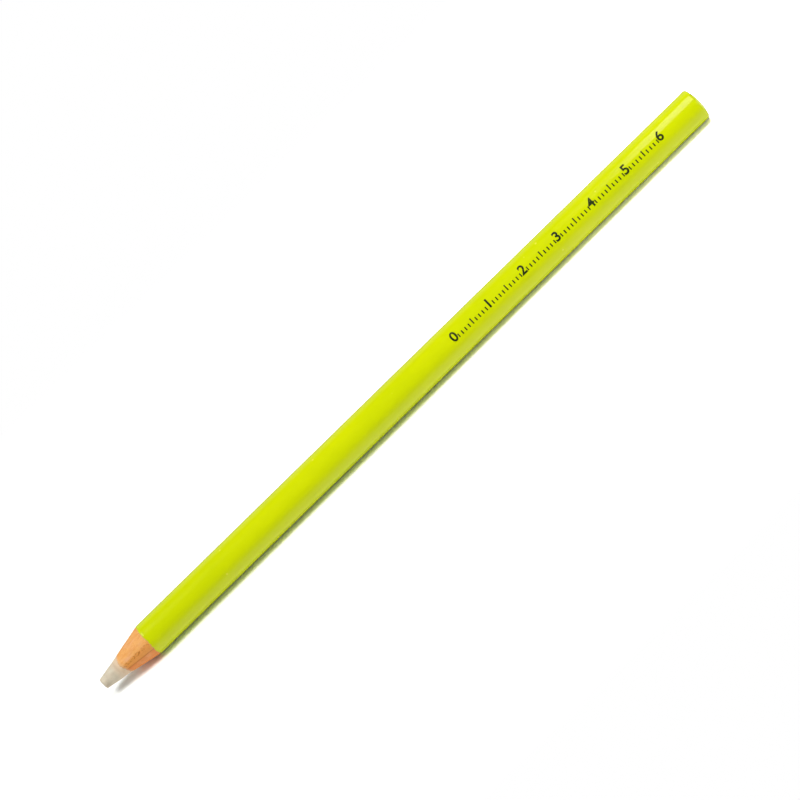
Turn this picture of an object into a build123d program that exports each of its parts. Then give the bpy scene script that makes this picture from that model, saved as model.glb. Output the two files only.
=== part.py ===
from build123d import *
import os
from math import cos, radians, sin, tan

# A wood-cased eraser pencil lying along X: bare rubber tip at -X, dipped blunt end at +X.
# It rests on the plane Z = 0, under the middle of its length. Millimetres and degrees.

# Whole pencil
length = 175.0
barrel_diameter = 7.8

# Wooden casing: the wall round the core where the core sits in the middle
wood_wall = 1.35

# Glue films and coats of paint, from the core outwards
glue_thickness = 0.05
sealer_thickness = 0.03
colour_thickness = 0.06
clear_thickness = 0.03

# Rubber core, which runs a little off the barrel's axis, down and to the rear
core_offset = 0.25
core_offset_elevation = -41.0

# Sharpened end: bare rubber in front of the wood, and the cone that the sharpener cut
bare_core_length = 5.0
cone_half_angle = 11.3
tip_diameter = 2.5
tip_edge_radius = 0.15
neck_depth = 0.40
collar_length = 0.1

# Blunt end
dip_skirt = 2.0
dip_thickness = 0.8
end_crown = 0.75
end_corner_radius = 0.6

# How far a cutting shape runs past what it cuts
overrun = 1.0

# Radii that follow from them
barrel_radius = barrel_diameter / 2
colour_radius = barrel_radius - clear_thickness
sealer_radius = colour_radius - colour_thickness
wood_radius = sealer_radius - sealer_thickness
bond_radius = wood_radius - wood_wall
core_radius = bond_radius - glue_thickness
neck_radius = core_radius - neck_depth
tip_radius = tip_diameter / 2
wood_front_radius = bond_radius - core_offset
rim_radius = end_corner_radius - (barrel_radius - wood_radius)

# Places along the pencil
tip_x = -length / 2
end_x = length / 2
coat_end_x = end_x - dip_skirt
casing_end_x = end_x - dip_thickness
wood_front_x = tip_x + bare_core_length
cone_slope = tan(radians(cone_half_angle))
neck_end_x = wood_front_x - glue_thickness / cone_slope - collar_length

# Size of a cutting block, from the core's axis past the outside of the pencil
block_length = length + overrun
block_reach = barrel_diameter + overrun

# The barrel's axis at its resting height, and the core's axis beside it
core_offset_y = core_offset * cos(radians(core_offset_elevation))
core_offset_z = core_offset * sin(radians(core_offset_elevation))
barrel_place = Pos(0, 0, barrel_radius)
core_place = barrel_place * Pos(0, core_offset_y, core_offset_z)


def cone_radius(x):
    """Radius of the sharpened cone at a place along the pencil."""
    return wood_front_radius + (x - wood_front_x) * cone_slope


def cone_x(radius):
    """Place along the pencil where the sharpened cone has this radius."""
    return wood_front_x + (radius - wood_front_radius) / cone_slope


def outline(points):
    """Flat face inside a closed outline of (x, radius) points."""
    return make_face(Polyline(*points, close=True))


def rounded(face, corner, radius):
    """The same face with one of its corners rounded."""
    vertex = face.vertices().sort_by_distance(corner)[0]
    return fillet(vertex, radius)


def turned(face):
    """Solid turned about the X axis."""
    return revolve(face, Axis.X)


def rod(radius, start_x, stop_x):
    """Round rod about the X axis."""
    return turned(outline([(start_x, 0), (start_x, radius), (stop_x, radius), (stop_x, 0)]))


def core_groove():
    """Round hole that the two slats leave for the core and its glue."""
    return core_place * rod(bond_radius, tip_x - overrun, end_x + overrun)


def casing_blank():
    """The glued-up pencil without its coats: sharpened in front, its rear rim rounded."""
    rim = (casing_end_x, wood_radius)
    points = [
        (tip_x, 0),
        (tip_x, cone_radius(tip_x)),
        (cone_x(wood_radius), wood_radius),
        rim,
        (casing_end_x, 0),
    ]
    return barrel_place * turned(rounded(outline(points), rim, rim_radius))


def slat(side):
    """Upper (1) or lower (-1) half of the casing, with its half of the groove."""
    middle = side * (glue_thickness + block_reach) / 2
    half = core_place * Pos(0, 0, middle) * Box(block_length, 2 * block_reach, block_reach)
    return (casing_blank() & half) - core_groove()


def glue_seam(side):
    """Glue film between the slats, in front of the core (-1) or behind it (1)."""
    middle = side * block_reach / 2
    film = core_place * Pos(0, middle, 0) * Box(block_length, block_reach, glue_thickness)
    return (casing_blank() & film) - core_groove()


def core_bond():
    """Sleeve of glue round the core."""
    bore = core_place * rod(core_radius, tip_x - overrun, end_x + overrun)
    return (casing_blank() & core_groove()) - bore


def eraser_core():
    """Rubber rod, flush with the cone where it leaves the wood, then a slimmer blunt tip."""
    held = casing_blank() & (core_place * rod(core_radius, neck_end_x, end_x))
    edge = (tip_x, tip_radius)
    points = [(tip_x, 0), edge, (neck_end_x, neck_radius), (neck_end_x, 0)]
    bare = core_place * turned(rounded(outline(points), edge, tip_edge_radius))
    return held + bare


def coat(inner_radius, outer_radius):
    """Layer of paint on the barrel, cut to a bevel by the sharpened cone."""
    points = [
        (cone_x(inner_radius), inner_radius),
        (cone_x(outer_radius), outer_radius),
        (coat_end_x, outer_radius),
        (coat_end_x, inner_radius),
    ]
    return barrel_place * turned(outline(points))


def end_dip():
    """Cap of paint over the blunt end, level with the barrel and crowned in the middle."""
    crown_radius = (barrel_radius**2 + end_crown**2) / (2 * end_crown)
    rim = (end_x - end_crown, barrel_radius)
    sides = Polyline((end_x, 0), (coat_end_x, 0), (coat_end_x, barrel_radius), rim)
    crown = RadiusArc(rim, (end_x, 0), crown_radius)
    face = rounded(make_face(sides + crown), rim, end_corner_radius)
    return barrel_place * turned(face) - casing_blank()


sub_parts = {
    "upper_slat": slat(1),
    "lower_slat": slat(-1),
    "eraser_core": eraser_core(),
    "core_bond": core_bond(),
    "front_glue_seam": glue_seam(-1),
    "rear_glue_seam": glue_seam(1),
    "sealer_coat": coat(wood_radius, sealer_radius),
    "colour_coat": coat(sealer_radius, colour_radius),
    "clear_coat": coat(colour_radius, barrel_radius),
    "end_dip": end_dip(),
}

os.makedirs("parts", exist_ok=True)
for name, solid in sub_parts.items():
    solid.label = name
    export_step(solid, f"parts/{name}.step")
    print(name, round(solid.volume, 4), len(solid.solids()))
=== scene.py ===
import math
import bmesh
import bpy
import numpy as np
from mathutils import Matrix, Vector, noise


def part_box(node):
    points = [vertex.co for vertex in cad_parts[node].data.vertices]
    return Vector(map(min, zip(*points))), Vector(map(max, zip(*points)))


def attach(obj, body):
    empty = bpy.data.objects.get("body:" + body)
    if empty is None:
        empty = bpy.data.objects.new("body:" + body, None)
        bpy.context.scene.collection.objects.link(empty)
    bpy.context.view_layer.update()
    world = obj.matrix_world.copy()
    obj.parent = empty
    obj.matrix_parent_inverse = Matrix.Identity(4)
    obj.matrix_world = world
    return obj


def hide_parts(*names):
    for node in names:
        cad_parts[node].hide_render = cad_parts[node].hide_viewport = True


# A lime green eraser pencil lying along X on a white table, its bare rubber tip at -X.
# Metres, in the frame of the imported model. Angles round the pencil start at +Y and turn to +Z.

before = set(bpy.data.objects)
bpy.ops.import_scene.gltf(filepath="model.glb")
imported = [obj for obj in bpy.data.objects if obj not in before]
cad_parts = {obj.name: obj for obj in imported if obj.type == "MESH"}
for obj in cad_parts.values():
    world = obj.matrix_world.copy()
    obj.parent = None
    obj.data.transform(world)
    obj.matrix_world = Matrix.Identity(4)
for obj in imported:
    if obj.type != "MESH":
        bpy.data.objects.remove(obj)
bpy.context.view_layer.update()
mm = 0.001
quarter_turn = math.pi / 2

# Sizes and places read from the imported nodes
lacquer_low, lacquer_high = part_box("clear_coat")
colour_low, colour_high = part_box("colour_coat")
sealer_low, sealer_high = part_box("sealer_coat")
casing_low, casing_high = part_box("upper_slat")
bond_low, bond_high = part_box("core_bond")
core_low, core_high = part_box("eraser_core")
seam_low, seam_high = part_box("front_glue_seam")
dip_low, dip_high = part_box("end_dip")


def half_width(low, high):
    """Radius of a round node, from its box."""
    return (high.y - low.y) / 2


barrel_radius = half_width(lacquer_low, lacquer_high)
colour_radius = half_width(colour_low, colour_high)
sealer_radius = half_width(sealer_low, sealer_high)
wood_radius = half_width(casing_low, casing_high)
bond_radius = half_width(bond_low, bond_high)
core_radius = half_width(core_low, core_high)
film_thickness = seam_high.z - seam_low.z
barrel_axis = np.array([0.0, barrel_radius])
core_axis = np.array([(core_low.y + core_high.y) / 2, (seam_low.z + seam_high.z) / 2])
core_shift = core_axis - barrel_axis
tip_x = core_low.x
end_x = dip_high.x
skirt_x = dip_low.x
casing_end_x = casing_high.x

# The sharpened cone, through the front edges of the sealer and of the varnish
cone_slope = (colour_radius - wood_radius) / (lacquer_low.x - sealer_low.x)
cone_end_x = lacquer_low.x + (barrel_radius - colour_radius) / cone_slope

# Bare rubber tip
tip_radius = 1.25 * mm
tip_edge = 0.22 * mm
tip_crown = 0.05 * mm
neck_radius = 1.98 * mm
neck_end = 4.05 * mm
shoulder_length = 0.8 * mm
rubber_recess = 0.02 * mm

# Blunt end
end_crown = 0.75 * mm
end_corner = 0.6 * mm
rim_radius = end_corner - (barrel_radius - wood_radius)
dip_first_radius = wood_radius / 4

# Edge of the paint and of the wood round the cone
paint_wave = 0.07 * mm
paint_waves = 5
paint_wave_turn = math.radians(156)
paint_chip = 0.05 * mm
paint_bevel = 0.36 * mm
sealer_lead = 0.12 * mm
wood_lip = 0.03 * mm
wood_chip = 0.16 * mm

# Seed, slowest and fastest wave of the chips in the paint and of the wide and narrow tears in the wood
paint_chips = (4, 9, 60)
wide_tears = (11, 3, 9)
narrow_tears = (12, 14, 70)

# Relief of the wood's fibres: its size, and its waves a metre along each axis
wood_relief = 0.012 * mm
relief_waves = np.array([250, 5200, 5200])

# Points on a ring and across a glue seam, and rows on each stretch
round_points = 256
seam_points = 4
bevel_rows = 7
lacquer_rows = 60
cone_rows = 110
casing_straight_rows = 12
rim_rows = 9
face_rows = 16
tip_edge_rows = 14
tip_rows = 96
skirt_rows = 8
corner_rows = 18
crown_rows = 20
tick_rows = 6

# Where the fine rows end on the wood and on the rubber, and the first ring's share of the tip's face
fine_wood_end = cone_end_x + 2 * paint_bevel
fine_rubber_end = tip_x + neck_end + 5 * shoulder_length
first_face_share = 0.06

# Rounds that settle the wood's front edge, and the angle from which an edge stays sharp
edge_rounds = 4
sharp_angle = math.radians(40)


def cone_radius(x):
    """Radius of the sharpened cone about the barrel's axis."""
    return barrel_radius + (x - cone_end_x) * cone_slope


def cone_x(radius):
    """Place along the pencil where the sharpened cone has this radius."""
    return cone_end_x + (radius - barrel_radius) / cone_slope


def from_core_axis(radius, angles):
    """Distance from the core's axis out to a circle of this radius round the barrel's axis."""
    along = core_shift[0] * np.cos(angles) + core_shift[1] * np.sin(angles)
    return np.sqrt(along**2 - core_shift @ core_shift + radius**2) - along


def smooth_step(values):
    """Smooth rise from 0 to 1."""
    held = np.clip(values, 0, 1)
    return held * held * (3 - 2 * held)


def ragged(angles, seed, slowest, fastest):
    """Irregular wave round the pencil, mostly between -1 and 1, the same on each run."""
    rng = np.random.default_rng(seed)
    waves = np.arange(slowest, fastest + 1)
    sizes = rng.normal(size=len(waves)) / np.sqrt(waves)
    turns = rng.uniform(0, 2 * np.pi, len(waves))
    total = np.cos(np.outer(angles, waves) + turns) @ sizes
    return total / np.sqrt(np.sum(sizes**2))


def relief(points, waves):
    """Smooth noise at points, in waves a metre along each axis."""
    flat = points.reshape(-1, 3) * waves
    return np.array([noise.noise(Vector(p)) for p in flat]).reshape(points.shape[:-1])


def around(x, radius, angles, axis):
    """Points on rings round an axis: x and radius are one value a ring, or one for each point."""
    x = np.broadcast_to(x, np.broadcast_shapes(np.shape(x), np.shape(radius), np.shape(angles)))
    y = axis[0] + radius * np.cos(angles)
    z = axis[1] + radius * np.sin(angles)
    return np.stack([x, np.broadcast_to(y, x.shape), np.broadcast_to(z, x.shape)], axis=-1)


def piece_from(name, points, faces):
    """Mesh piece with outward faces, smooth but for its sharp edges."""
    mesh = bpy.data.meshes.new(name)
    mesh.from_pydata([tuple(p) for p in points], [], faces)
    build = bmesh.new()
    build.from_mesh(mesh)
    bmesh.ops.recalc_face_normals(build, faces=build.faces)
    build.to_mesh(mesh)
    build.free()
    mesh.shade_smooth()
    mesh.set_sharp_from_angle(angle=sharp_angle)
    piece = bpy.data.objects.new(name, mesh)
    bpy.context.scene.collection.objects.link(piece)
    return piece


def ring_faces(rings, points, bands):
    """Bands of quads from each ring to the next; the one after the last ring leads to the first."""
    faces = []
    for i in range(bands):
        here = i * points
        there = (i + 1) % rings * points
        for j in range(points):
            k = (j + 1) % points
            faces.append((here + j, here + k, there + k, there + j))
    return faces


def looped_piece(name, rings):
    """Closed piece whose last ring joins its first, such as a tube with a wall."""
    count, points = rings.shape[:2]
    return piece_from(name, rings.reshape(-1, 3), ring_faces(count, points, count))


def capped_piece(name, rings):
    """Closed piece whose first and last rings are each closed by a fan."""
    count, points = rings.shape[:2]
    faces = ring_faces(count, points, count - 1)
    poles = np.array([rings[0].mean(axis=0), rings[-1].mean(axis=0)])
    front = count * points
    for j in range(points):
        k = (j + 1) % points
        faces.append((front, k, j))
        faces.append((front + 1, (count - 1) * points + j, (count - 1) * points + k))
    return piece_from(name, np.concatenate([rings.reshape(-1, 3), poles]), faces)


def strip_piece(name, outer, inner):
    """Closed piece between an outer and an inner sheet of points, each (row, column)."""
    rings = np.concatenate([outer, inner[:, ::-1]], axis=1)
    count, points = rings.shape[:2]
    faces = ring_faces(count, points, count - 1)
    for row in (0, (count - 1) * points):
        for j in range(points // 2 - 1):
            k = points - 1 - j
            faces.append((row + j, row + j + 1, row + k - 1, row + k))
    return piece_from(name, rings.reshape(-1, 3), faces)


full_turn = np.linspace(0, 2 * np.pi, round_points, endpoint=False)


def paint_edge(angles):
    """Where the lacquer ends on the cone: a wavy line with small chips."""
    edge = cone_x(sealer_radius) + paint_wave * (1 + np.cos(paint_waves * (angles - paint_wave_turn)))
    return edge + paint_chip * ragged(angles, *paint_chips)


def lime_lacquer():
    """Lacquer and varnish on the barrel, one tube with a bevelled wavy front edge."""
    edge = paint_edge(full_turn)
    rings = []
    for share in np.linspace(0, 1, bevel_rows):
        radius = sealer_radius + (barrel_radius - sealer_radius) * math.sin(share * quarter_turn)
        rings.append(around(edge + paint_bevel * share, radius, full_turn, barrel_axis))
    rows = np.linspace(cone_end_x + paint_bevel, skirt_x, lacquer_rows)
    rings += [around(x, barrel_radius, full_turn, barrel_axis) for x in rows]
    rings.append(around(skirt_x, sealer_radius, full_turn, barrel_axis))
    return looped_piece("lime_lacquer", np.array(rings))


def sealer():
    """Thin amber coat under the lacquer, which shows as a fine rim in front of it."""
    edge = paint_edge(full_turn) - sealer_lead
    rings = [
        around(edge, wood_radius, full_turn, barrel_axis),
        around(edge + sealer_lead / 2, sealer_radius, full_turn, barrel_axis),
        around(skirt_x, sealer_radius, full_turn, barrel_axis),
        around(skirt_x, wood_radius, full_turn, barrel_axis),
    ]
    return looped_piece("wood_sealer", np.array(rings))


def rim_drop(x):
    """How far the casing's rounded rear rim lies inside its full radius."""
    past = np.clip(x - (casing_end_x - rim_radius), 0, rim_radius)
    return rim_radius - np.sqrt(rim_radius**2 - past**2)


def casing_radius(x):
    """Radius of the bare casing about the barrel's axis."""
    return np.minimum(cone_radius(x), wood_radius) - rim_drop(x)


def wood_front(angles):
    """Where the wood begins in front: the cone runs out at the core, with torn fibres."""
    knife_edge = cone_end_x
    for _ in range(edge_rounds):
        gap = from_core_axis(cone_radius(knife_edge), angles) - bond_radius - wood_lip
        knife_edge = knife_edge - gap / cone_slope
    tears = ragged(angles, *wide_tears) + ragged(angles, *narrow_tears)
    return knife_edge + wood_chip * (1 + tears / 2)


def casing_rows(front):
    """Rows of places from a wavy front edge back to the casing's end."""
    on_cone = front + (fine_wood_end - front) * np.linspace(0, 1, cone_rows)[:, None]
    straight = np.linspace(fine_wood_end, casing_end_x - rim_radius, casing_straight_rows)[1:]
    rim_turns = np.linspace(0, quarter_turn, rim_rows)[1:]
    back = np.concatenate([straight, casing_end_x - rim_radius * (1 - np.sin(rim_turns))])
    return np.concatenate([on_cone, np.repeat(back[:, None], len(front), axis=1)])


def slat(name, side):
    """Upper (1) or lower (-1) half of the wooden casing."""
    start = 0 if side > 0 else np.pi
    angles = start + np.linspace(0, np.pi, round_points // 2 + 1)
    x = casing_rows(wood_front(angles))
    smooth_radius = from_core_axis(casing_radius(x), angles)
    fibres = relief(around(x, smooth_radius, angles, core_axis), relief_waves)
    rough_radius = np.maximum(smooth_radius + wood_relief * (fibres - 1), bond_radius + wood_lip / 2)
    outer = around(x, rough_radius, angles, core_axis)
    inner = around(x, bond_radius, angles, core_axis)
    for sheet in (outer, inner):
        sheet[..., 2] += side * film_thickness / 2
    return strip_piece(name, outer, inner)


def glue_seam(name, angle):
    """Film of glue between the slats, on one side of the core."""
    x = casing_rows(wood_front(np.array([angle])))
    outside = from_core_axis(casing_radius(x), angle) - wood_relief
    across = np.linspace(bond_radius, outside, seam_points)
    across = np.moveaxis(across[..., 0], 0, 1)
    sheet = around(x, across, angle, core_axis)
    top = sheet + [0, 0, film_thickness / 2]
    bottom = sheet - [0, 0, film_thickness / 2]
    return strip_piece(name, top, bottom)


def glue_sleeve():
    """Glue round the core, cut by the cone in front."""
    edge = wood_front(full_turn)
    rings = [
        around(edge - film_thickness, core_radius, full_turn, core_axis),
        around(edge, bond_radius, full_turn, core_axis),
        around(casing_end_x, bond_radius, full_turn, core_axis),
        around(casing_end_x, core_radius, full_turn, core_axis),
    ]
    return looped_piece("glue_sleeve", np.array(rings))


def rubber_radius(x, angles):
    """Radius of the rubber about its axis: tapered neck, shoulder, then flush with the cone."""
    from_tip = x - tip_x
    neck = tip_radius + (neck_radius - tip_radius) * np.clip(from_tip / neck_end, 0, 1)
    flush = from_core_axis(cone_radius(np.maximum(x, tip_x + neck_end)), angles) - rubber_recess
    held = np.minimum(flush, core_radius)
    step = smooth_step((from_tip - neck_end) / shoulder_length)
    return neck + (np.maximum(held, neck) - neck) * step


def rubber_core():
    """The rubber rod with its worn blunt tip."""
    face_radii = np.linspace(first_face_share, 1, face_rows)[:-1] * (tip_radius - tip_edge)
    face_depth = tip_crown * (face_radii / tip_radius) ** 2
    edge_turns = np.linspace(0, quarter_turn, tip_edge_rows)
    edge_x = tip_x + tip_crown + tip_edge * (1 - np.cos(edge_turns))
    edge_inset = tip_edge * (1 - np.sin(edge_turns))
    body_x = np.linspace(edge_x[-1], fine_rubber_end, tip_rows)[1:]
    rings = [around(tip_x + d, r, full_turn, core_axis) for r, d in zip(face_radii, face_depth)]
    for x, inset in zip(edge_x, edge_inset):
        rings.append(around(x, rubber_radius(x, full_turn) - inset, full_turn, core_axis))
    for x in np.append(body_x, casing_end_x):
        rings.append(around(x, rubber_radius(x, full_turn), full_turn, core_axis))
    return capped_piece("rubber_core", np.array(rings))


def end_profile():
    """Outline (x, radius) of the dipped end: skirt, rounded corner, shallow crown to the axis."""
    crown_radius = (barrel_radius**2 + end_crown**2) / (2 * end_crown)
    crown_centre = end_x - crown_radius
    corner_y = barrel_radius - end_corner
    reach = math.sqrt((crown_radius - end_corner) ** 2 - corner_y**2)
    corner_x = crown_centre + reach
    top = math.asin(corner_y / (crown_radius - end_corner))
    profile = [(x, barrel_radius) for x in np.linspace(skirt_x, corner_x, skirt_rows)[:-1]]
    for turn in np.linspace(quarter_turn, top, corner_rows):
        profile.append((corner_x + end_corner * math.cos(turn), corner_y + end_corner * math.sin(turn)))
    for turn in np.linspace(top, 0, crown_rows)[1:-1]:
        profile.append((crown_centre + crown_radius * math.cos(turn), crown_radius * math.sin(turn)))
    return profile


def dipped_end():
    """Cap of lacquer over the blunt end."""
    rings = [around(casing_end_x, dip_first_radius, full_turn, barrel_axis)]
    for x in casing_end_x - rim_radius * (1 - np.cos(np.linspace(0, quarter_turn, rim_rows))):
        rings.append(around(x, wood_radius - rim_drop(x), full_turn, barrel_axis))
    rings.append(around(skirt_x, wood_radius, full_turn, barrel_axis))
    rings += [around(x, r, full_turn, barrel_axis) for x, r in end_profile()]
    return capped_piece("dipped_end", np.array(rings))


# Plain printed scale: ticks a millimetre apart, with a number at each centimetre
print_start = 103.5 * mm
print_count = 60
print_pitch = 1 * mm
ticks_a_number = 10
ticks_a_half = 5
print_angle = math.radians(154)
print_height = 0.008 * mm
tick_width = 0.28 * mm
tick_height = 0.9 * mm
half_tick_height = 1.45 * mm
number_size = 3.1 * mm
number_boldness = 0.075 * mm
cut_spacing = 0.1 * mm
merge_distance = print_height / 10


def on_barrel(u, v, lift):
    """Point on the barrel: u along the pencil, v round it towards the top, lift above the paint."""
    angle = print_angle - v / barrel_radius
    radius = barrel_radius + lift
    y = barrel_axis[0] + radius * math.cos(angle)
    return Vector((u, y, barrel_axis[1] + radius * math.sin(angle)))


def scale_ticks():
    """All ticks of the printed scale as thin curved pads, each row of a pad four corners."""
    points = []
    faces = []
    corners = 4
    for i in range(print_count + 1):
        if i % ticks_a_number == 0:
            continue
        x = tip_x + print_start + i * print_pitch
        height = half_tick_height if i % ticks_a_half == 0 else tick_height
        base = len(points)
        for v in np.linspace(0, height, tick_rows):
            for u in (x - tick_width / 2, x + tick_width / 2):
                for lift in (-print_height, print_height):
                    points.append(on_barrel(u, v, lift))
        last = base + corners * (tick_rows - 1)
        for a in range(base, last, corners):
            for p, q in ((0, 1), (1, 3), (3, 2), (2, 0)):
                faces.append((a + p, a + q, a + q + corners, a + p + corners))
        faces.append((base, base + 2, base + 3, base + 1))
        faces.append((last, last + 1, last + 3, last + 2))
    return piece_from("scale_ticks", points, faces)


def scale_numbers():
    """Numbers 0 to 6 in place of the centimetre ticks, cut fine enough to follow the barrel."""
    build = bmesh.new()
    for number in range(print_count // ticks_a_number + 1):
        letters = bpy.data.curves.new("number", "FONT")
        letters.body = str(number)
        letters.size = number_size
        letters.align_x = "CENTER"
        letters.extrude = print_height
        letters.offset = number_boldness
        holder = bpy.data.objects.new("number", letters)
        mesh = bpy.data.meshes.new_from_object(holder)
        x = tip_x + print_start + ticks_a_number * number * print_pitch
        mesh.transform(Matrix.Translation((x, 0, 0)))
        build.from_mesh(mesh)
        bpy.data.objects.remove(holder)
        bpy.data.curves.remove(letters)
        bpy.data.meshes.remove(mesh)
    bmesh.ops.remove_doubles(build, verts=build.verts, dist=merge_distance)
    for v in np.arange(0, number_size, cut_spacing):
        everything = build.verts[:] + build.edges[:] + build.faces[:]
        bmesh.ops.bisect_plane(build, geom=everything, plane_co=(0, v, 0), plane_no=(0, 1, 0))
    points = [on_barrel(p.co.x, p.co.y, p.co.z) for p in build.verts]
    build.verts.index_update()
    faces = [tuple(p.index for p in face.verts) for face in build.faces]
    build.free()
    return piece_from("scale_numbers", points, faces)


# Steps that the materials are built from


def material(name):
    """Empty node material, its node tree and its shader."""
    made = bpy.data.materials.new(name)
    made.use_nodes = True
    return made, made.node_tree, made.node_tree.nodes["Principled BSDF"]


def add_node(tree, kind, values=(), **settings):
    """New node with settings, and values for its inputs by name."""
    made = tree.nodes.new(kind)
    for key, value in settings.items():
        setattr(made, key, value)
    for key, value in dict(values).items():
        made.inputs[key].default_value = value
    return made


def math_of(tree, operation, *values):
    """Result of a math node whose values are each a socket or a plain number."""
    made = add_node(tree, "ShaderNodeMath", operation=operation)
    for value, socket in zip(values, made.inputs):
        if isinstance(value, (int, float)):
            socket.default_value = value
        else:
            tree.links.new(value, socket)
    return made.outputs["Value"]


def sum_of(tree, first, second, weight):
    """First value plus the second times a weight."""
    return math_of(tree, "MULTIPLY_ADD", second, weight, first)


def product_of(tree, first, second):
    """Two values multiplied."""
    return math_of(tree, "MULTIPLY", first, second)


def object_coordinates(tree, scale, turn=0.0):
    """Object coordinates in metres, turned about X, times a scale for each axis."""
    source = add_node(tree, "ShaderNodeTexCoord")
    turned = add_node(tree, "ShaderNodeVectorRotate", {"Angle": turn}, rotation_type="X_AXIS")
    mapping = add_node(tree, "ShaderNodeMapping", {"Scale": scale})
    tree.links.new(source.outputs["Object"], turned.inputs["Vector"])
    tree.links.new(turned.outputs["Vector"], mapping.inputs["Vector"])
    return mapping.outputs["Vector"]


def axis_value(tree, axis, turn=0.0):
    """Place along one axis in metres, after a turn about X."""
    apart = add_node(tree, "ShaderNodeSeparateXYZ")
    tree.links.new(object_coordinates(tree, (1, 1, 1), turn), apart.inputs["Vector"])
    return apart.outputs[axis]


def noise_value(tree, waves, detail=3.0, roughness=0.5):
    """Noise from 0 to 1, in waves a metre along each axis."""
    made = add_node(tree, "ShaderNodeTexNoise", {"Scale": 1.0, "Detail": detail, "Roughness": roughness})
    tree.links.new(object_coordinates(tree, waves), made.inputs["Vector"])
    return made.outputs["Fac"]


def mapped(tree, value, low, high, to_low=0.0, to_high=1.0):
    """Value rescaled from one range to another, and held inside it."""
    made = add_node(tree, "ShaderNodeMapRange", {
        "From Min": low, "From Max": high, "To Min": to_low, "To Max": to_high,
    })
    tree.links.new(value, made.inputs["Value"])
    return made.outputs["Result"]


def mixed(tree, amount, first, second):
    """Colour between two, each a socket or a plain colour."""
    made = add_node(tree, "ShaderNodeMix", data_type="RGBA")
    tree.links.new(amount, made.inputs["Factor"])
    for key, colour in (("A", first), ("B", second)):
        socket = next(s for s in made.inputs if s.name == key and s.type == "RGBA")
        if isinstance(colour, tuple):
            socket.default_value = (*colour, 1)
        else:
            tree.links.new(colour, socket)
    return next(s for s in made.outputs if s.type == "RGBA")


def near_plane(tree, place, wobble, wobble_size, reach, turn=0.0):
    """1 on a plane along the pencil, fading to 0 at reach on both sides; the plane wobbles a little."""
    moved = sum_of(tree, axis_value(tree, "Z", turn), wobble, wobble_size)
    distance = math_of(tree, "ABSOLUTE", math_of(tree, "SUBTRACT", moved, place + wobble_size / 2))
    return mapped(tree, distance, 0.0, reach, 1.0, 0.0)


def core_distance(tree):
    """Distance from the axis of the rubber core."""
    made = add_node(tree, "ShaderNodeVectorMath", {1: (0, *core_axis)}, operation="DISTANCE")
    tree.links.new(object_coordinates(tree, (0, 1, 1)), made.inputs[0])
    return made.outputs["Value"]


def bumped(tree, shader, height, distance):
    """Bump on a shader from a height of 0 to 1, distance in metres."""
    made = add_node(tree, "ShaderNodeBump", {"Strength": 1.0, "Distance": distance})
    tree.links.new(height, made.inputs["Height"])
    tree.links.new(made.outputs["Normal"], shader.inputs["Normal"])


# Lime lacquer: colours, noises, what the noises map to, and gloss
lime_deep = (0.622, 0.765, 0.0)
lime_light = (0.672, 0.800, 0.0)
nib_colour = (0.80, 0.86, 0.06)
cloud_noise = {"waves": (60, 160, 160), "detail": 2.0}
peel_noise = {"waves": (900, 2500, 2500)}
pull_noise = {"waves": (25, 5000, 5000), "detail": 2.0}
nib_waves = (230, 230, 230)
cloud_amount = {"low": 0.3, "high": 0.7}
nib_amount = {"low": 0.03, "high": 0.07, "to_low": 1.0, "to_high": 0.0}
lacquer_roughness = {"low": 0.2, "high": 0.8, "to_low": 0.10, "to_high": 0.17}
peel_share = 0.3
pull_share = 0.25
lacquer_bump = 0.008 * mm
lacquer_specular = 0.5
lacquer_tint = (1.0, 1.0, 0.88, 1)


def lacquer_material():
    """Glossy lime lacquer: cloudy colour, faint pull lines, orange peel and a few dust nibs."""
    made, tree, shader = material("lime_lacquer")
    clouds = mapped(tree, noise_value(tree, **cloud_noise), **cloud_amount)
    specks = add_node(tree, "ShaderNodeTexVoronoi", {"Scale": 1.0, "Randomness": 1.0})
    tree.links.new(object_coordinates(tree, nib_waves), specks.inputs["Vector"])
    nib = mapped(tree, specks.outputs["Distance"], **nib_amount)
    base = mixed(tree, clouds, lime_deep, lime_light)
    tree.links.new(mixed(tree, nib, base, nib_colour), shader.inputs["Base Color"])
    peel = noise_value(tree, **peel_noise)
    peeled = sum_of(tree, nib, peel, peel_share)
    bumped(tree, shader, sum_of(tree, peeled, noise_value(tree, **pull_noise), pull_share), lacquer_bump)
    tree.links.new(mapped(tree, peel, **lacquer_roughness), shader.inputs["Roughness"])
    shader.inputs["Specular IOR Level"].default_value = lacquer_specular
    shader.inputs["Specular Tint"].default_value = lacquer_tint
    return made


# Wood sealer
sealer_deep = (0.60, 0.36, 0.06)
sealer_light = (0.76, 0.56, 0.12)
sealer_noise = {"waves": (2000, 4000, 4000)}
sealer_amount = {"low": 0.3, "high": 0.7}
sealer_bump = 0.01 * mm
sealer_roughness = 0.5


def sealer_material():
    """Amber sealer, seen only as a rim a tenth of a millimetre wide."""
    made, tree, shader = material("wood_sealer")
    stain = mapped(tree, noise_value(tree, **sealer_noise), **sealer_amount)
    tree.links.new(mixed(tree, stain, sealer_deep, sealer_light), shader.inputs["Base Color"])
    bumped(tree, shader, stain, sealer_bump)
    shader.inputs["Roughness"].default_value = sealer_roughness
    return made


# The wood's growth rings are planes along the pencil, turned about X so that the camera sees them
# edge on. A dark ring and a row of pores in it lie below the barrel's axis in that view, and both
# wander a little.
ring_turn = math.radians(31)
ring_middle = barrel_radius * math.cos(ring_turn)
dark_ring = ring_middle - 1.05 * mm
dark_ring_reach = 1.1 * mm
pore_row = ring_middle - 0.55 * mm
pore_row_reach = 0.62 * mm
ring_wander = 0.3 * mm

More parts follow.
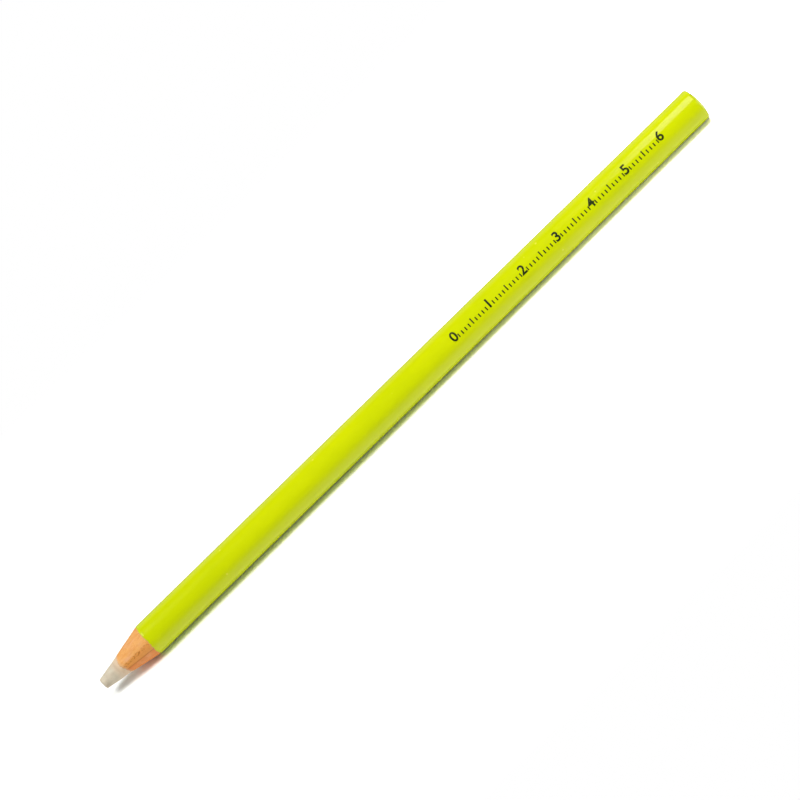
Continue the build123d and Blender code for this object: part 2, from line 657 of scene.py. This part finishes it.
# The stain beside the glue line, and the pale edge where the wood is thin over the core
stain_reach = 0.2 * mm
stain_wander = 0.02 * mm
feather_reach = 0.24 * mm
feather_wander = 0.1 * mm
feather_amount = 0.9

# Noises in the wood, what they and the planes map to, and the colours that they mix in
fibre_noise = {"waves": (130, 8000, 8000), "detail": 4.0, "roughness": 0.6}
streak_noise = {"waves": (70, 2600, 2600), "detail": 2.0}
blotch_noise = {"waves": (300, 700, 700), "detail": 1.0}
wander_noise = {"waves": (180, 900, 900)}
pore_noise = {"waves": (650, 14000, 14000), "detail": 2.0}
spot_noise = {"waves": (2000, 4200, 4200), "detail": 1.0}
fibre_amount = {"low": 0.32, "high": 0.68}
flush_amount = {"low": 0.50, "high": 0.70, "to_high": 0.7}
ring_amount = {"low": 0.05, "high": 0.45, "to_high": 0.9}
streak_amount = {"low": 0.50, "high": 0.62, "to_high": 0.8}
pore_row_amount = {"low": 0.1, "high": 0.7}
spot_amount = {"low": 0.52, "high": 0.62}
stain_amount = {"low": 0.1, "high": 1.0, "to_high": 0.9}
pore_amount = {"low": 0.60, "high": 0.72, "to_high": 0.6}
flush_colour = (0.94, 0.50, 0.25)
spot_colour = (0.58, 0.19, 0.030)
stain_colour = (0.64, 0.18, 0.035)
pore_colour = (0.55, 0.21, 0.04)
feather_colour = (0.86, 0.62, 0.36)
pore_share = -0.6
wood_bump = 0.02 * mm
wood_roughness = 0.6
wood_specular = 0.3

# Pale fibres, deep fibres and dark ring of each slat
upper_shades = ((0.98, 0.55, 0.185), (0.86, 0.38, 0.090), (0.84, 0.35, 0.070))
lower_shades = ((0.94, 0.42, 0.125), (0.82, 0.28, 0.065), (0.86, 0.29, 0.070))


def wood_material(name, pale, deep, ring_shade):
    """Wood cut along the grain: fibres, a dark growth ring, pores, a stained glue line, a pale edge."""
    made, tree, shader = material(name)
    fibre = noise_value(tree, **fibre_noise)
    streaks = noise_value(tree, **streak_noise)
    blotches = noise_value(tree, **blotch_noise)
    wander = noise_value(tree, **wander_noise)
    pores = noise_value(tree, **pore_noise)
    spots = noise_value(tree, **spot_noise)
    ring = near_plane(tree, dark_ring, wander, ring_wander, dark_ring_reach, ring_turn)
    row = near_plane(tree, pore_row, wander, ring_wander, pore_row_reach, ring_turn)
    row_amount = mapped(tree, row, **pore_row_amount)
    stain = near_plane(tree, core_axis[1], wander, stain_wander, stain_reach)
    depth = sum_of(tree, core_distance(tree), blotches, feather_wander)
    feather_end = bond_radius + feather_reach
    colour = mixed(tree, mapped(tree, fibre, **fibre_amount), deep, pale)
    for amount, shade in (
        (mapped(tree, blotches, **flush_amount), flush_colour),
        (mapped(tree, ring, **ring_amount), ring_shade),
        (mapped(tree, streaks, **streak_amount), deep),
        (product_of(tree, row_amount, mapped(tree, spots, **spot_amount)), spot_colour),
        (mapped(tree, stain, **stain_amount), stain_colour),
        (mapped(tree, pores, **pore_amount), pore_colour),
        (mapped(tree, depth, bond_radius, feather_end, feather_amount, 0.0), feather_colour),
    ):
        colour = mixed(tree, amount, colour, shade)
    tree.links.new(colour, shader.inputs["Base Color"])
    bumped(tree, shader, sum_of(tree, fibre, pores, pore_share), wood_bump)
    shader.inputs["Roughness"].default_value = wood_roughness
    shader.inputs["Specular IOR Level"].default_value = wood_specular
    return made


# Rubber, with wood dust on it from one distance from the tip to another
rubber_light = (0.75, 0.70, 0.54)
rubber_deep = (0.61, 0.54, 0.40)
dust_colour = (0.87, 0.63, 0.40)
smudge_noise = {"waves": (500, 700, 700), "detail": 4.0, "roughness": 0.6}
grain_noise = {"waves": (7000, 7000, 7000), "roughness": 0.6}
smudge_amount = {"low": 0.35, "high": 0.7}
dust_start = 3.4 * mm
dust_stop = 5.0 * mm
dust_amount = 0.6
rubber_bump = 0.02 * mm
rubber_roughness = {"low": 0, "high": 1, "to_low": 0.45, "to_high": 0.6}
scatter_weight = 0.1
scatter_shares = (1.0, 0.8, 0.6)
scatter_distance = 0.6 * mm


def rubber_material():
    """Warm grey rubber: soft, matte, faintly smudged and grainy, dusted with wood near the casing."""
    made, tree, shader = material("eraser_rubber")
    smudge = mapped(tree, noise_value(tree, **smudge_noise), **smudge_amount)
    plain = mixed(tree, smudge, rubber_light, rubber_deep)
    dust = mapped(tree, axis_value(tree, "X"), tip_x + dust_start, tip_x + dust_stop, 0.0, dust_amount)
    tree.links.new(mixed(tree, dust, plain, dust_colour), shader.inputs["Base Color"])
    bumped(tree, shader, noise_value(tree, **grain_noise), rubber_bump)
    tree.links.new(mapped(tree, smudge, **rubber_roughness), shader.inputs["Roughness"])
    shader.inputs["Subsurface Weight"].default_value = scatter_weight
    shader.inputs["Subsurface Radius"].default_value = scatter_shares
    shader.inputs["Subsurface Scale"].default_value = scatter_distance
    return made


# Glue
glue_deep = (0.48, 0.15, 0.03)
glue_light = (0.60, 0.22, 0.05)
glue_noise = {"waves": (900, 6000, 6000)}
glue_amount = {"low": 0.3, "high": 0.7}
glue_bump = 0.01 * mm
glue_roughness = 0.45


def glue_material():
    """Dried brown glue."""
    made, tree, shader = material("dried_glue")
    stain = mapped(tree, noise_value(tree, **glue_noise), **glue_amount)
    tree.links.new(mixed(tree, stain, glue_deep, glue_light), shader.inputs["Base Color"])
    bumped(tree, shader, stain, glue_bump)
    shader.inputs["Roughness"].default_value = glue_roughness
    return made


# Printing ink
ink_dark = (0.006, 0.020, 0.001)
ink_worn = (0.026, 0.055, 0.002)
wear_noise = {"waves": (3000, 6000, 6000)}
wear_amount = {"low": 0.35, "high": 0.75}
ink_bump = 0.004 * mm
ink_roughness = 0.5
ink_specular = 0.2


def ink_material():
    """Dark green stamping foil, a little uneven."""
    made, tree, shader = material("print_ink")
    wear = mapped(tree, noise_value(tree, **wear_noise), **wear_amount)
    tree.links.new(mixed(tree, wear, ink_dark, ink_worn), shader.inputs["Base Color"])
    bumped(tree, shader, wear, ink_bump)
    shader.inputs["Roughness"].default_value = ink_roughness
    shader.inputs["Specular IOR Level"].default_value = ink_specular
    return made


# Camera: square on to the pencil, looking down, and rolled so that the pencil rises to the right
camera_elevation = math.radians(31)
camera_roll = math.radians(44.37)
camera_distance = 0.9
frame_width = 167.85 * mm
aim_from_tip = 86.24 * mm
aim_below_axis = 0.92 * mm
sensor_width = 36.0
clip_start = 0.01


def add_camera():
    """The photograph's view."""
    up = Vector((0, math.sin(camera_elevation), math.cos(camera_elevation)))
    along = Vector((1, 0, 0))
    to_camera = Vector((0, -math.cos(camera_elevation), math.sin(camera_elevation)))
    right = along * math.cos(camera_roll) - up * math.sin(camera_roll)
    above = along * math.sin(camera_roll) + up * math.cos(camera_roll)
    aim = Vector((tip_x + aim_from_tip, 0, barrel_radius)) - up * aim_below_axis
    lens = bpy.data.cameras.new("camera")
    lens.sensor_width = sensor_width
    lens.lens = sensor_width * camera_distance / frame_width
    lens.clip_start = clip_start
    holder = bpy.data.objects.new("camera", lens)
    turn = Matrix((right, above, to_camera)).transposed().to_4x4()
    holder.matrix_world = Matrix.Translation(aim + to_camera * camera_distance) @ turn
    bpy.context.scene.collection.objects.link(holder)
    bpy.context.scene.camera = holder


# Softboxes: height, near and far end along the pencil, radiance, colour
softboxes = {
    "right_softbox": (0.4, 0.103, 0.30, 11.8, (1.0, 0.86, 0.84)),
    "left_softbox": (0.8, -0.19, -0.66, 8.0, (1.0, 1.0, 0.98)),
}

# Each softbox is two lamps in one place: width as a share of its height, share of its radiance
lamp_shares = ((0.75, 0.35), (0.38, 0.65))

# How far a softbox stands in front of the pencil, as a share of its height
forward_share = 0.11

# Small lamp before the blunt end
end_lamp_place = (0.22, -0.22, 0.12)
end_lamp_size = (0.12, 0.12)
end_lamp_radiance = 1.5
end_lamp_colour = (1.0, 1.0, 1.0)


def add_lamp(name, middle, size, radiance, colour, target=None):
    """Rectangular lamp, facing down or towards a target, with an even radiance."""
    light = bpy.data.lights.new(name, "AREA")
    light.shape = "RECTANGLE"
    light.size, light.size_y = size
    light.energy = radiance * math.pi * light.size * light.size_y
    light.color = colour
    lamp = bpy.data.objects.new(name, light)
    lamp.location = middle
    if target is not None:
        lamp.rotation_euler = (target - Vector(middle)).to_track_quat("-Z", "Y").to_euler()
    bpy.context.scene.collection.objects.link(lamp)


def add_softbox(name, height, near_end, far_end, radiance, colour):
    """Softbox above the pencil, from one place along it to another, brightest in its middle."""
    for across, share in lamp_shares:
        middle = ((near_end + far_end) / 2, -forward_share * height, height)
        add_lamp(name, middle, (abs(far_end - near_end), across * height), radiance * share, colour)


# Brightness of the room, of the backdrop behind and of the fill light from the front
room_light = 0.03
backdrop_light = 0.5
fill_light = 0.2

# Where the backdrop and the fill light begin and are full, as the Y of a unit direction
backdrop_span = (0.45, 0.85)
fill_span = (0.3, -0.6)


def add_world():
    """A dim room, a pale backdrop behind, soft fill light from the front, plain white for the camera."""
    world = bpy.data.worlds.new("studio")
    world.use_nodes = True
    tree = world.node_tree
    direction = add_node(tree, "ShaderNodeSeparateXYZ")
    tree.links.new(add_node(tree, "ShaderNodeTexCoord").outputs["Generated"], direction.inputs["Vector"])
    path = add_node(tree, "ShaderNodeLightPath")
    backdrop = mapped(tree, direction.outputs["Y"], *backdrop_span, room_light, backdrop_light)
    fill = mapped(tree, direction.outputs["Y"], *fill_span, 0.0, fill_light)
    surroundings = sum_of(tree, backdrop, product_of(tree, fill, path.outputs["Is Diffuse Ray"]), 1.0)
    seen = add_node(tree, "ShaderNodeMix", {"B": 1.0}, data_type="FLOAT")
    tree.links.new(path.outputs["Is Camera Ray"], seen.inputs["Factor"])
    tree.links.new(surroundings, seen.inputs["A"])
    background = tree.nodes["Background"]
    background.inputs["Color"].default_value = (1, 1, 1, 1)
    tree.links.new(seen.outputs["Result"], background.inputs["Strength"])
    bpy.context.scene.world = world


# The table, and how it looks to the camera alone: towards the tip, and at the blunt end. Its rise
# towards the blunt end is painted light, which lightens and tints the table's shadow there.
table_half = 4.0
table_white = (0.93, 0.93, 0.93)
seen_near_tip = (1.32, 1.37, 1.38)
seen_near_end_painted_lighter = (2.10, 2.00, 2.65)

# The table, as the lacquer mirrors it: a white strip along the pencil, fading on both sides
strip_half_width = 7 * mm
strip_fade = 20 * mm
strip_surround = (0.08, 0.08, 0.08)

# Far from the pencil and its shadow the table turns to plain white, for the camera alone
white_start = 40 * mm
white_full = 120 * mm


def add_floor():
    """White table top, brighter for the camera alone, so that only deep shadow shows, and brighter still
    towards the blunt end: painted light that lightens the shadow there.
    """
    corners = [(x * table_half, y * table_half, 0) for x, y in ((-1, -1), (1, -1), (1, 1), (-1, 1))]
    mesh = bpy.data.meshes.new("table_top")
    mesh.from_pydata(corners, [], [(0, 1, 2, 3)])
    floor = bpy.data.objects.new("table_top", mesh)
    bpy.context.scene.collection.objects.link(floor)
    made, tree, _ = material("table_top")
    path = add_node(tree, "ShaderNodeLightPath")
    aside = math_of(tree, "ABSOLUTE", axis_value(tree, "Y"))
    # Painted light: to the camera the table brightens from the middle to the blunt end, so the shadow
    # there is lighter
    seen = mixed(tree, mapped(tree, axis_value(tree, "X"), 0.0, end_x), seen_near_tip, seen_near_end_painted_lighter)
    fade = mapped(tree, aside, strip_half_width, strip_fade)
    mirrored = product_of(tree, fade, path.outputs["Is Glossy Ray"])
    table = mixed(tree, mirrored, table_white, strip_surround)
    paper = add_node(tree, "ShaderNodeBsdfDiffuse")
    tree.links.new(mixed(tree, path.outputs["Is Camera Ray"], table, seen), paper.inputs["Color"])
    plain_white = add_node(tree, "ShaderNodeEmission", {"Color": (1, 1, 1, 1), "Strength": 1.0})
    far = mapped(tree, aside, white_start, white_full)
    blend = add_node(tree, "ShaderNodeMixShader")
    tree.links.new(product_of(tree, far, path.outputs["Is Camera Ray"]), blend.inputs["Fac"])
    tree.links.new(paper.outputs["BSDF"], blend.inputs[1])
    tree.links.new(plain_white.outputs["Emission"], blend.inputs[2])
    tree.links.new(blend.outputs["Shader"], tree.nodes["Material Output"].inputs["Surface"])
    mesh.materials.append(made)


bpy.context.scene.view_settings.view_transform = "Standard"
add_camera()
add_world()
for box_name, box_values in softboxes.items():
    add_softbox(box_name, *box_values)
end_middle = Vector((end_x, 0, 0))
add_lamp("end_softbox", end_lamp_place, end_lamp_size, end_lamp_radiance, end_lamp_colour, end_middle)
add_floor()

lacquer = lacquer_material()
glue = glue_material()
ink = ink_material()
upper_wood = wood_material("upper_wood", *upper_shades)
lower_wood = wood_material("lower_wood", *lower_shades)
pieces = [
    (slat("upper_casing", 1), upper_wood, "cedar", ["upper_slat"]),
    (slat("lower_casing", -1), lower_wood, "cedar", ["lower_slat"]),
    (rubber_core(), rubber_material(), "eraser_rubber", ["eraser_core"]),
    (glue_sleeve(), glue, "glue", ["core_bond"]),
    (glue_seam("front_seam", math.pi), glue, "glue", ["front_glue_seam"]),
    (glue_seam("rear_seam", 0.0), glue, "glue", ["rear_glue_seam"]),
    (sealer(), sealer_material(), "wood_sealer", ["sealer_coat"]),
    (lime_lacquer(), lacquer, "lime_lacquer", ["colour_coat", "clear_coat"]),
    (dipped_end(), lacquer, "lime_lacquer", ["end_dip"]),
    (scale_ticks(), ink, "lime_lacquer", []),
    (scale_numbers(), ink, "lime_lacquer", []),
]
for piece, finish, slot, nodes in pieces:
    piece.data.materials.append(finish)
    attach(piece, "root")
    if nodes:
        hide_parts(*nodes)
